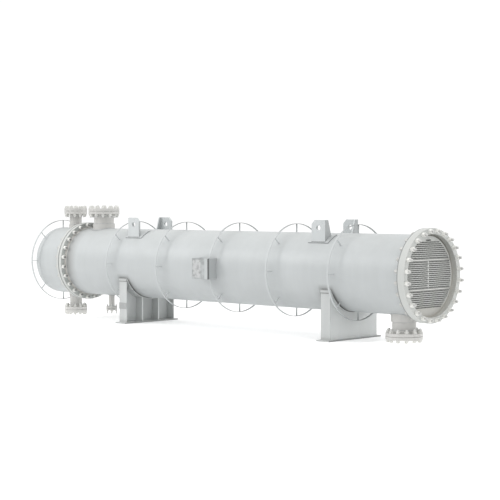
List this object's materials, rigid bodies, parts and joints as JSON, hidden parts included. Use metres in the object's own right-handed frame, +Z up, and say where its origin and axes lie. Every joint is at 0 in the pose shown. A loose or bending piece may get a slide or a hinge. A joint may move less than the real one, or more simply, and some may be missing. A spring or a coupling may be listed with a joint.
{
  "type": "shell and tube heat exchanger",
  "caption": "Horizontal shell and tube heat exchanger on two saddles, with a dished channel end, blanked nozzles, insulation support rings, lifting lugs and an open tubesheet end.",
  "frame": {"origin": "centre of the underside of the fixed saddle, the one nearer the dished head", "axes": "+X along the vessel towards the open tubesheet end, +Z up, -Y the side with the nameplate"},
  "size_m": [6.6071, 1.17, 1.511],
  "materials": {
    "vessel_paint": "satin light grey paint",
    "flange_paint": "satin light grey paint over machined rims",
    "tubesheet_steel": "machined face",
    "gasket": "matt",
    "nameplate_steel": "brushed"
  },
  "bodies": {
    "root": {"channel_barrel": "vessel_paint", "channel_bottom_cover": "flange_paint", "channel_bottom_nozzle": "flange_paint", "channel_flange": "flange_paint", "channel_head": "vessel_paint", "channel_top_cover": "flange_paint", "channel_top_nozzle": "flange_paint", "drain_cover": "flange_paint", "drain_nozzle": "flange_paint", "earthing_plate": "vessel_paint", "fixed_saddle_base": "vessel_paint", "fixed_saddle_ends": "vessel_paint", "fixed_saddle_ribs": "vessel_paint", "fixed_saddle_web": "vessel_paint", "fixed_saddle_wrap": "vessel_paint", "girth_gasket": "gasket", "lifting_lug_back_left": "vessel_paint", "lifting_lug_back_right": "vessel_paint", "lifting_lug_front_left": "vessel_paint", "lifting_lug_front_right": "vessel_paint", "lug_pad_back_left": "vessel_paint", "lug_pad_back_right": "vessel_paint", "lug_pad_front_left": "vessel_paint", "lug_pad_front_right": "vessel_paint", "nameplate": "nameplate_steel", "nameplate_bracket": "vessel_paint", "nozzle_gaskets": "gasket", "rear_flange": "flange_paint", "rear_tubesheet": "tubesheet_steel", "shell_barrel": "vessel_paint", "shell_front_flange": "flange_paint", "shell_inlet_cover": "flange_paint", "shell_inlet_nozzle": "flange_paint", "shell_outlet_cover": "flange_paint", "shell_outlet_nozzle": "flange_paint", "sliding_saddle_base": "vessel_paint", "sliding_saddle_ends": "vessel_paint", "sliding_saddle_ribs": "vessel_paint", "sliding_saddle_web": "vessel_paint", "sliding_saddle_wrap": "vessel_paint", "support_ring_0": "vessel_paint", "support_ring_1": "vessel_paint", "support_ring_2": "vessel_paint", "support_ring_3": "vessel_paint", "support_ring_4": "vessel_paint", "support_ring_5": "vessel_paint"}
  },
  "joints": []
}
